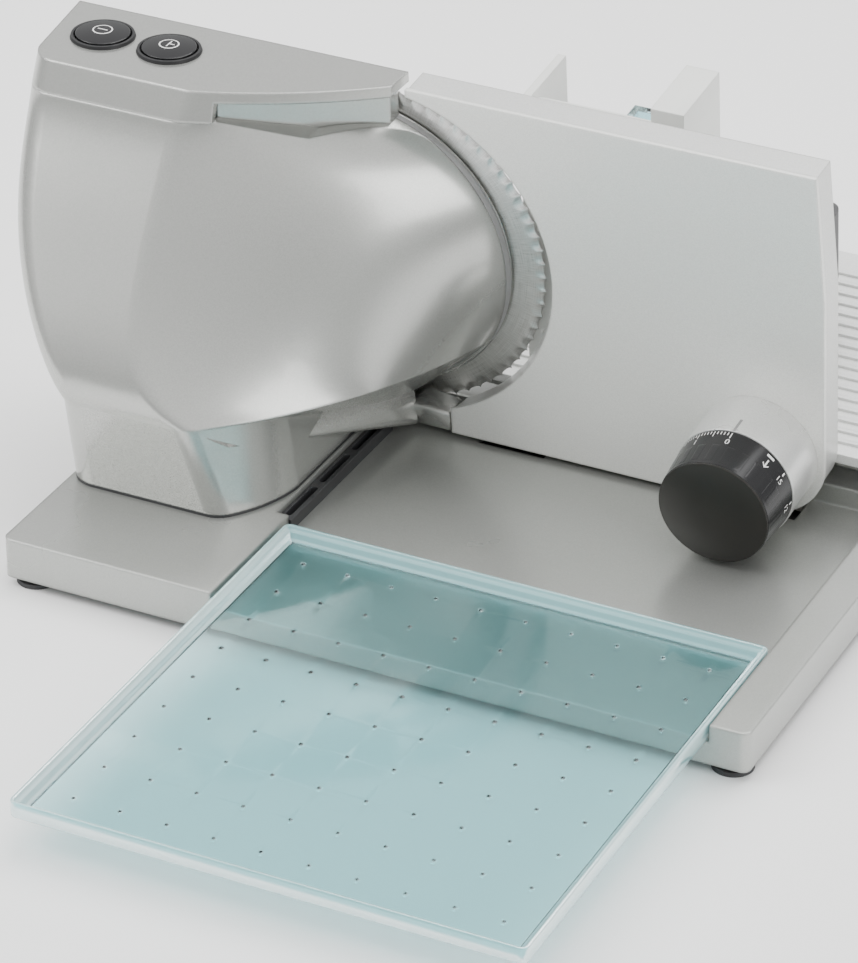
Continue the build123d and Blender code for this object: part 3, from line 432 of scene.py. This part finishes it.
skirt_points = np.stack([skirt_loop(share) for share in np.linspace(0.03, 0.985, 22)])
skirt_points = np.array((axle[0], axle[1], 0.0)) + 0.001 * skirt_points
skirt = grid_piece("nose_skirt", "chassis", skirt_points, shell_silver,
                   round_v=True)
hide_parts("guard_arm")
stop_outline = np.array([(19.0, -86.4), (41.5, -86.4), (41.5, -77.4), (40.6, -76.4),
                         (33.0, -75.2), (24.0, -74.6), (19.0, -76.0)])


def pressed_block(outline, out0, out1, round_off):
    """A block from an outline: stations out from the plane, the outline shrinking towards its
    middle near both ends so that the ends come out rounded and closed."""
    middle = outline.mean(axis=0)
    stations = [(out0, 0.0), (out0, 1 - 2 * round_off), (out0 + 0.4, 1 - round_off),
                (out0 + 1.2, 1.0), (out1 - 1.2, 1.0), (out1 - 0.4, 1 - round_off),
                (out1, 1 - 2 * round_off), (out1, 0.0)]
    rows = [lean_place(*(middle + size * (outline - middle)).T, np.full(len(outline), out))
            for out, size in stations]
    return np.stack(rows)


stop = grid_piece("arm_stop", "chassis",
                  pressed_block(stop_outline, 3.2, 17.3, 0.05), shell_silver, round_v=True)
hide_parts("guard_arm")
dress(inner_grey, "housing_back", "switch_bracket")
dress(strip_plastic, "pedestal_seal")
switch_plastic = moulding("switch_plastic", (0.08, 0.08, 0.085), 0.4)
dress(switch_plastic, "switches")

# ------------------------------------------------------------------ push buttons
# Two domed glossy black buttons in matt rings; each is held up by a coil spring.

bezel_plastic = moulding("bezel_plastic", (0.022, 0.022, 0.023), 0.42, 1800.0, dust=0.0,
                         shine=0.25)
button_gloss = moulding("button_gloss", (0.006, 0.006, 0.007), 0.1, 1600.0, 0.000003, 0.0008,
                        dust=0.0, shine=0.45)
spring_wire = machined("spring_wire", (0.55, 0.55, 0.57), 0.3, (1.0, 1.0, 14.0), 700.0, 0.0001)
dress(bezel_plastic, "button_bezels")
dress(button_gloss, "button_off", "button_on")
dress(spring_wire, "spring_off", "spring_on")
mark_white = moulding("mark_white", (0.82, 0.82, 0.8), 0.4, 2200.0, 0.000004, 0.0001, dust=0.0)
dome_radius, ink = 0.0585, 0.00012


def dome_band(place, top, inner, outer, first, last, steps):
    """A printed arc on a button's dome: a grid of angle by radius, each point lowered from the
    dome's top by its radius squared over twice the dome's radius, and raised by the ink."""
    angle = np.linspace(first, last, steps)[:, None]
    reach = np.linspace(inner, outer, 3)[None, :]
    drop = reach ** 2 / (2 * dome_radius)
    return np.stack([place[0] + reach * np.cos(angle), place[1] + reach * np.sin(angle),
                     top + ink - drop + 0 * angle], axis=2)


def dome_bar(place, top, x0, x1, y0, y1):
    """A printed bar on a button's dome: a grid of two straight spans, lowered as the dome is."""
    across, along = np.meshgrid(np.linspace(x0, x1, 7), np.linspace(y0, y1, 7), indexing="ij")
    drop = (across ** 2 + along ** 2) / (2 * dome_radius)
    return np.stack([place[0] + across, place[1] + along, top + ink - drop], axis=2)


for state, bars in (("off", ((-0.0025, 0.0025, -0.0003, 0.0003),)),
                    ("on", ((-0.0003, 0.0003, -0.0028, 0.0028),
                            (0.0003, 0.0028, -0.0003, 0.0003)))):
    low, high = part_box(f"button_{state}")
    middle = ((low.x + high.x) / 2, (low.y + high.y) / 2)
    grid_piece(f"{state}_ring", f"{state}_button",
               dome_band(middle, high.z, 0.0041, 0.0047, 0.0, 2 * pi, 48), mark_white)
    for number, (x0, x1, y0, y1) in enumerate(bars):
        grid_piece(f"{state}_bar_{number}", f"{state}_button",
                   dome_bar(middle, high.z, x0, x1, y0, y1), mark_white)

# ------------------------------------------------------------------ blade
# A stainless disc, hollow ground with a row of scallops round its edge, on a dished hub.
# A turned lock on its food side holds it on the shaft.


def ground_steel(name, centre, tilt):
    """Ground stainless steel: fine rings about the axle, read from the distance to it, crossed by
    long radial grinding strokes; both are relief, and both break up the gloss."""
    material, tree, shader = new_material(name)
    edge = put(tree, "Group", {"node_tree": edge_effect}, Radius=0.0003, Wear=0.6)
    haze = put(tree, "Group", {"node_tree": haze_effect}, Scale=40.0)
    centred = put(tree, "Mapping", {"vector_type": "TEXTURE"}, Location=centre, Rotation=tilt,
                  Vector=put(tree, "TexCoord").outputs["Object"]).outputs[0]
    split_up = put(tree, "SeparateXYZ", Vector=centred)
    reach = put(tree, "VectorMath", {"operation": "LENGTH"},
                a=put(tree, "VectorMath", {"operation": "MULTIPLY"}, a=centred,
                      b=(1.0, 1.0, 0.0)).outputs[0]).outputs["Value"]
    turn = sum_of(tree, "ARCTAN2", split_up.outputs["Y"], split_up.outputs["X"])
    rings = put(tree, "TexNoise", Scale=1.0, Detail=3.0,
                Vector=put(tree, "CombineXYZ", X=sum_of(tree, "MULTIPLY", reach, 5200.0),
                           Y=sum_of(tree, "MULTIPLY", turn, 4.0)).outputs[0])
    strokes = put(tree, "TexNoise", Scale=1.0, Detail=4.0, Roughness=0.65,
                  Vector=put(tree, "CombineXYZ", X=sum_of(tree, "MULTIPLY", reach, 160.0),
                             Y=sum_of(tree, "MULTIPLY", turn, 150.0)).outputs[0])
    both = sum_of(tree, "ADD", rings.outputs["Fac"], strokes.outputs["Fac"])
    streaked = mixed(tree, ranged(tree, both, 0.75, 1.25, 0.0, 1.0), (0.52, 0.515, 0.5, 1.0),
                     (0.78, 0.775, 0.76, 1.0))
    tree.links.new(mixed(tree, edge.outputs["Mask"], streaked, (0.92, 0.92, 0.92, 1.0)),
                   shader.inputs["Base Color"])
    rough = ranged(tree, both, 0.7, 1.3, 0.24, 0.42)
    tree.links.new(sum_of(tree, "ADD", rough, sum_of(tree, "MULTIPLY", haze.outputs["Patch"],
                                                     0.06)), shader.inputs["Roughness"])
    bump = put(tree, "Bump", Strength=0.35, Distance=0.00003, Height=both,
               Normal=edge.outputs["Normal"])
    tree.links.new(bump.outputs[0], shader.inputs["Normal"])
    shader.inputs["Metallic"].default_value = 1.0
    return material


lean = float(np.arctan2(-outward[2], -outward[1]))
blade_steel = ground_steel("blade_steel", tuple(axle), (pi / 2 + lean, 0.0, 0.0))
teeth = 72
blade_radius = 85.9
bevel_start, hollow_length, hollow_depth, scallop_depth = 80.0, 4.6, 0.55, 1.35
disc_profile = np.array([[5.4, 2.75], [23.5, 2.75], [32.0, 0.8], [71.5, 0.8], [74.0, 0.72],
                         [77.0, 0.6], [79.0, 0.5], [80.5, 0.43], [82.0, 0.34], [83.2, 0.24],
                         [84.2, 0.12], [85.0, -0.1], [85.6, -0.4], [blade_radius, -0.62],
                         [blade_radius, -0.78], [85.0, -0.8], [80.0, -0.8], [60.0, -0.8],
                         [32.0, -0.8], [23.8, 1.2], [5.4, 1.2]])


def scalloped_disc(turns):
    """The blade: its half section turned about the axle.  Towards the edge, every point moves in
    by the depth of the scallop, which is a half circle between two points of the edge, and the
    near face sinks into a round hollow ground for each scallop."""
    angle = np.linspace(0.0, 2 * pi, turns, endpoint=False)[:, None]
    phase = ((angle * teeth / (2 * pi)) % 1.0) * 2.0 - 1.0
    arc = np.sqrt(np.clip(1.0 - phase ** 2, 0.0, 1.0))
    reach = disc_profile[None, :, 0] + 0 * angle
    out = disc_profile[None, :, 1] + 0 * angle
    near_edge = np.clip((reach - bevel_start) / (blade_radius - bevel_start), 0.0, 1.0)
    depth = scallop_depth * arc * near_edge ** 2
    front = (disc_profile[None, :, 1] > -0.7) & (disc_profile[None, :, 0] > 78.0)
    hollow = np.clip(1.0 - phase ** 2 - ((blade_radius - reach) / hollow_length) ** 2, 0.0, 1.0)
    sunk = np.maximum(out - hollow_depth * np.sqrt(hollow) * front, -0.74)
    out = np.where(front, sunk, out)
    reach = reach - depth
    return lean_place(reach * np.cos(angle), reach * np.sin(angle), out)


disc = grid_piece("blade_disc", "blade_unit", scalloped_disc(teeth * 12),
                  blade_steel, round_u=True, round_v=True)
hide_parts("blade")
lock_plastic = moulding("lock_plastic", (0.05, 0.05, 0.055), 0.4)
dress(lock_plastic, "blade_lock")

# ------------------------------------------------------------------ thickness plate
# A pressed tray-shaped plate with a smooth coated front, carried on two feet that slide on rods.

plate_silver = silver_coat("plate_silver", (0.78, 0.785, 0.755), 0.42, 0.3, 2800.0, 0.0018)
dress(plate_silver, "gauge_cover")
plate_back_coat = silver_coat("plate_back_coat", (0.62, 0.625, 0.61), 0.4, 0.5, 2200.0, 0.0012)
dress(plate_back_coat, "gauge_plate")
foot_plastic = moulding("foot_plastic", (0.7, 0.69, 0.64), 0.45)
dress(foot_plastic, "gauge_feet")

# ------------------------------------------------------------------ dial
# A silver collar stands on the plate; a black knob with a grooved grip and a dark domed cap
# turns before it.  Its figures are printed on the round of the knob.

collar_silver = silver_coat("collar_silver", (0.7, 0.705, 0.69), 0.3, 0.6, 2600.0, 0.0009)
knob_black = moulding("knob_black", (0.01, 0.01, 0.011), 0.22, 1500.0, 0.00001, 0.0005,
                      dust=0.0, shine=0.35)
cap_grey = moulding("cap_grey", (0.02, 0.019, 0.0165), 0.34, 1500.0, 0.00001, 0.0008, dust=0.0,
                    shine=0.22)
dial = next(joint for joint in frame["joints"] if joint["name"] == "dial_turn")
dial_right = (np.array(dial["pos_m"]) - axle)[0] * 1000.0
dial_up = float((np.array(dial["pos_m"]) - axle) @ upward_lean) * 1000.0


def around_dial(turn, reach, out):
    """Points round the dial's axle: turn is clockwise from the top as the dial is read."""
    return lean_place(dial_right + reach * np.sin(turn), dial_up + reach * np.cos(turn), out)


knob_back, knob_front = 45.9, 68.9
knob_radius, knob_taper = 28.4, 1.8
print_lift = 0.06


def knob_reach(out):
    """The knob's radius: it narrows in a straight line from its back to its front."""
    share = (np.clip(out, knob_back, knob_front) - knob_back) / (knob_front - knob_back)
    return knob_radius - knob_taper * share


def band_mark(name, body, turn, width, out0, out1, lift=print_lift, reach=None, material=mark_white):
    """A printed stroke on the round of the dial: a grid of turn by distance along the axle."""
    turns = np.linspace(turn - width / 2, turn + width / 2, 5)[:, None]
    outs = np.linspace(out0, out1, 3)[None, :]
    reach = knob_reach(outs) if reach is None else reach
    grid_piece(name, body, around_dial(turns, reach + lift, outs), material)


def band_text(name, letters, turn, out, size):
    """Printed figures: flat letters wrapped on the knob, their width going round it and their
    height along it, their feet towards the cap."""
    curve = bpy.data.curves.new(name, "FONT")
    curve.body = letters
    curve.size = size
    curve.align_x = "CENTER"
    curve.align_y = "CENTER"
    flat_text = bpy.data.objects.new(name, curve)
    bpy.context.scene.collection.objects.link(flat_text)
    mesh = bpy.data.meshes.new_from_object(flat_text.evaluated_get(
        bpy.context.evaluated_depsgraph_get()))
    bpy.data.objects.remove(flat_text)
    flat_points = np.zeros(len(mesh.vertices) * 3)
    mesh.vertices.foreach_get("co", flat_points)
    flat_points = flat_points.reshape(-1, 3)
    outs = out - flat_points[:, 1]
    turns = turn + flat_points[:, 0] / 28.0
    wrapped = around_dial(turns, knob_reach(outs) + print_lift, outs)
    mesh.vertices.foreach_set("co", wrapped.ravel().astype(np.float32))
    mesh.update()
    mesh.materials.append(mark_white)
    piece = bpy.data.objects.new(name, mesh)
    bpy.context.scene.collection.objects.link(piece)
    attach(piece, "dial")


def knob_ring():
    """The knob's grip: a closed tube of stations round the axle. Its reach at each turn is the
    tapering radius less 0.9 mm in each of 24 rounded grooves, which run out near both ends."""
    turns = np.linspace(0.0, 2 * pi, 288, endpoint=False)[:, None]
    outs = np.array((54.9, 55.3, 56.2, 58.0, 60.5, 63.0, 65.0, 66.6, 67.6, 68.4, 68.9))[None, :]
    depth = np.array((0.0, 0.0, 0.5, 0.9, 1.0, 1.0, 1.0, 0.9, 0.6, 0.2, 0.0))[None, :]
    rounding = np.array((0.5, 0.12, 0.0, 0.0, 0.0, 0.0, 0.0, 0.0, 0.1, 0.5, 1.1))[None, :]
    groove = np.clip(np.cos(24 * turns) * 1.6 - 0.6, 0.0, 1.0)
    reach = knob_reach(outs) + 0.05 - rounding - 0.9 * groove * depth
    outer = around_dial(turns, reach, outs + 0 * turns)
    inner = around_dial(turns, np.array((22.0, 22.0))[None, :] + 0 * turns,
                        np.array((68.7, 54.9))[None, :] + 0 * turns)
    return np.concatenate([outer, inner], axis=1)


grip = grid_piece("knob_grip", "dial", knob_ring(), knob_black, round_u=True,
                  round_v=True)
for number in range(31):
    long = number % 5 == 0
    band_mark(f"scale_line_{number}", "dial", -radians(3.4 * number), radians(0.9),
              46.6, 50.2 if long else 48.6)
for number, letters in enumerate(("0", "1", "2", "3")):
    band_text(f"scale_figure_{number}", letters, -radians(34.0 * number), 52.9, 4.6)
for number, letters in enumerate(("15", "12", "9", "6")):
    turn = radians(62.0 + 31.0 * number)
    band_mark(f"coarse_line_{number}", "dial", turn, radians(1.6), 46.8, 49.0)
    band_text(f"coarse_figure_{number}", letters, turn, 52.2, 4.4)
band_mark("stop_dash", "dial", radians(42.0), radians(8.5), 47.2, 48.5)
band_mark("arrow_stem", "dial", radians(42.0), radians(1.5), 50.0, 54.6)
for side in (-1, 1):
    turns = radians(42.0) + side * np.linspace(0.0, 0.06, 4)[:, None]
    outs = 54.9 - np.linspace(0.0, 1.9, 4)[:, None] + np.linspace(-0.4, 0.4, 2)[None, :]
    grid_piece(f"arrow_head_{side + 1}", "dial",
               around_dial(turns + 0 * outs, knob_reach(outs) + print_lift, outs), mark_white)
pointer_grey = moulding("pointer_grey", (0.22, 0.22, 0.22), 0.4, 1500.0)
band_mark("collar_pointer", "gauge", 0.0, radians(2.6), 36.0, 45.4, 0.03, 28.8, pointer_grey)
dress(collar_silver, "dial_collar")
dress(knob_black, "dial_knob")
dress(cap_grey, "dial_cap")
dress(foot_plastic, "dial_spindle")

# ------------------------------------------------------------------ carriage
# A ribbed food table on a runner, with a fence at its right and a loop handle beyond it.

table_coat = silver_coat("table_coat", (0.8, 0.805, 0.79), 0.38, 0.25, 2600.0, 0.0009)
dress(table_coat, "carriage_table", "carriage_fence")
dress(foot_plastic, "carriage_runner", "carriage_glides")
handle_black = moulding("handle_black", (0.05, 0.05, 0.052), 0.45, 1300.0, 0.00003, 0.0012)
dress(handle_black, "carriage_handle")

# ------------------------------------------------------------------ remnant holder
# A light grey pusher with short spikes rides on the fence; a clear guard covers the thumb.

holder_grey = moulding("holder_grey", (0.74, 0.75, 0.72), 0.34, 1200.0, 0.00001, 0.001)
dress(holder_grey, "holder_saddle", "holder_plate")


def clear_plastic(name, tint, painted_edge_light, gloss, radius):
    """Clear tinted acrylic: light goes through it, and its edges carry painted light, a second tint
    that stands in for how light shows along them;
    faint flow lines and fine wiping scratches show in its gloss."""
    material, tree, shader = new_material(name)
    edge = put(tree, "Group", {"node_tree": edge_effect}, Radius=radius, Wear=0.9)
    haze = put(tree, "Group", {"node_tree": haze_effect}, Scale=11.0)
    # Painted light: the edge mask mixes in the second tint. On the tray and guard it is a deeper
    # teal for light running through the thick edges, and on the rim a pale teal for its glints.
    tree.links.new(mixed(tree, edge.outputs["Mask"], colour_of(tint), colour_of(painted_edge_light)),
                   shader.inputs["Base Color"])
    tree.links.new(ranged(tree, haze.outputs["Patch"], 0.0, 1.0, gloss * 0.6, gloss * 1.5),
                   shader.inputs["Roughness"])
    bump = put(tree, "Bump", Strength=0.2, Distance=0.00002, Height=haze.outputs["Speck"],
               Normal=edge.outputs["Normal"])
    tree.links.new(bump.outputs[0], shader.inputs["Normal"])
    shader.inputs["Transmission Weight"].default_value = 1.0
    shader.inputs["IOR"].default_value = 1.49
    return material


guard_acrylic = clear_plastic("guard_acrylic", (0.62, 0.84, 0.88), (0.4, 0.72, 0.78), 0.06, 0.001)
dress(guard_acrylic, "thumb_guard")

# ------------------------------------------------------------------ slice tray
# One moulding of clear pale-teal acrylic: a rolled rim round a thin floor with rows of nubs.
# It slides out over the front of the sunk deck to catch the slices.

tray_acrylic = clear_plastic("tray_acrylic", (0.56, 0.855, 0.885), (0.42, 0.78, 0.82), 0.05,
                             0.0006)
# The rim's pale edge tint is a painted highlight that stands in for the glints along it.
rim_acrylic = clear_plastic("rim_acrylic", (0.42, 0.76, 0.79), (0.75, 0.93, 0.94), 0.1, 0.0008)
rim_acrylic.node_tree.nodes["Principled BSDF"].inputs["Transmission Weight"].default_value = 0.55
tray_low, tray_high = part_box("slice_tray")


def round_corner_path(x0, x1, y0, y1, radius, inset, steps=8):
    """A rectangle with round corners, drawn in by an inset that also tightens its corners."""
    turns = (np.arange(4)[:, None] * (pi / 2) + np.linspace(0.0, pi / 2, steps)[None, :]).ravel()
    centre_x = np.repeat([x1 - radius, x0 + radius, x0 + radius, x1 - radius], steps)
    centre_y = np.repeat([y1 - radius, y1 - radius, y0 + radius, y0 + radius], steps)
    reach = np.maximum(radius - inset, 0.0002)
    shift_x = np.where(centre_x > (x0 + x1) / 2, -1.0, 1.0) * np.maximum(inset - radius, 0.0)
    shift_y = np.where(centre_y > (y0 + y1) / 2, -1.0, 1.0) * np.maximum(inset - radius, 0.0)
    return np.stack([centre_x + shift_x + reach * np.cos(turns),
                     centre_y + shift_y + reach * np.sin(turns)], axis=1)


def swept_rim(profile):
    """The tray's raised rim: a profile of inset and height carried round the tray's outline."""
    rows = []
    for inset, height in profile:
        path = round_corner_path(tray_low.x, tray_high.x, tray_low.y, tray_high.y, 0.0035, inset)
        rows.append(np.column_stack([path, np.full(len(path), tray_low.z + height)]))
    return np.stack(rows, axis=1)


rim_profile = np.array([(0.0003, 0.0), (0.0, 0.0004), (0.0, 0.0071), (0.0003, 0.0076),
                        (0.0014, 0.0076), (0.0018, 0.0072), (0.0020, 0.0064), (0.0036, 0.0060),
                        (0.0042, 0.0054), (0.0044, 0.0034), (0.0052, 0.0026), (0.0060, 0.0024),
                        (0.0060, 0.0)])
rim = grid_piece("tray_rim", "tray", swept_rim(rim_profile)[:, ::-1], rim_acrylic,
                 round_u=True, round_v=True)
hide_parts("slice_tray")
floor_inset, floor_top = 0.0061, 0.0023
nub_height, nub_spread = 0.0009, 0.0009
nub_across = np.arange(tray_low.x + 0.0195, tray_high.x - 0.012, 0.022)
nub_along = np.arange(tray_low.y + 0.021, tray_high.y - 0.012, 0.026)


def grid_lines(low, high, spots):
    """Grid lines from one side of the floor to the other, gathered close round each nub."""
    steps = np.array((-1.9, -1.4, -0.9, -0.4, 0.0, 0.4, 0.9, 1.4, 1.9)) * 0.001
    return np.concatenate([(low, low + 0.0003), (spots[:, None] + steps).ravel(),
                           (high - 0.0003, high)])


def tray_floor():
    """The tray's floor with its nubs: a grid whose height rises by 0.9 mm at each nub in the
    bell curve exp(-(r / 0.9 mm)^2), closed below by the same grid, flat, and at its sides."""
    x = grid_lines(tray_low.x + floor_inset, tray_high.x - floor_inset, nub_across)
    y = grid_lines(tray_low.y + floor_inset, tray_high.y - floor_inset, nub_along)
    off_x = np.abs(x[:, None] - nub_across).min(axis=1)
    off_y = np.abs(y[:, None] - nub_along).min(axis=1)
    spread = off_x[:, None] ** 2 + off_y[None, :] ** 2
    rise = nub_height * np.exp(-spread / nub_spread ** 2)
    flat_x, flat_y = np.meshgrid(x, y, indexing="ij")
    top = np.stack([flat_x, flat_y, tray_low.z + floor_top + rise], axis=2)
    under = np.stack([flat_x, flat_y, 0 * rise + tray_low.z + 0.0001], axis=2)
    return np.concatenate([under[:, :1], top, under[:, :0:-1]], axis=1)


def closed_ends(loops):
    """Sections closed at both ends of the row by drawing each end section in to a line."""
    middle = (loops.max(axis=1, keepdims=True) + loops.min(axis=1, keepdims=True)) / 2
    first = loops[:1] * (1, 1, 0) + middle[:1] * (0, 0, 1)
    last = loops[-1:] * (1, 1, 0) + middle[-1:] * (0, 0, 1)
    return np.concatenate([first, loops, last])


sheet = grid_piece("tray_sheet", "tray", closed_ends(tray_floor()), tray_acrylic,
                   round_v=True)
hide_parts("slice_tray")

# ------------------------------------------------------------------ table top
# A plain pale top, wide enough that its far edge lies outside every view.

table_paint, tree, shader = new_material("table_paint")
shade = put(tree, "TexNoise", Scale=3.0, Detail=2.0, Vector=put(tree, "TexCoord").outputs["Object"])
tree.links.new(mixed(tree, shade.outputs["Fac"], (0.9, 0.9, 0.895, 1.0), (0.93, 0.93, 0.925, 1.0)),
               shader.inputs["Base Color"])
shader.inputs["Roughness"].default_value = 0.7
half = 6.0
mesh = bpy.data.meshes.new("table_top")
mesh.from_pydata([(-half, -half, 0.0), (half, -half, 0.0), (half, half, 0.0), (-half, half, 0.0)],
                 [], [(0, 1, 2, 3)])
mesh.materials.append(table_paint)
table_top = bpy.data.objects.new("table_top", mesh)
bpy.context.scene.collection.objects.link(table_top)
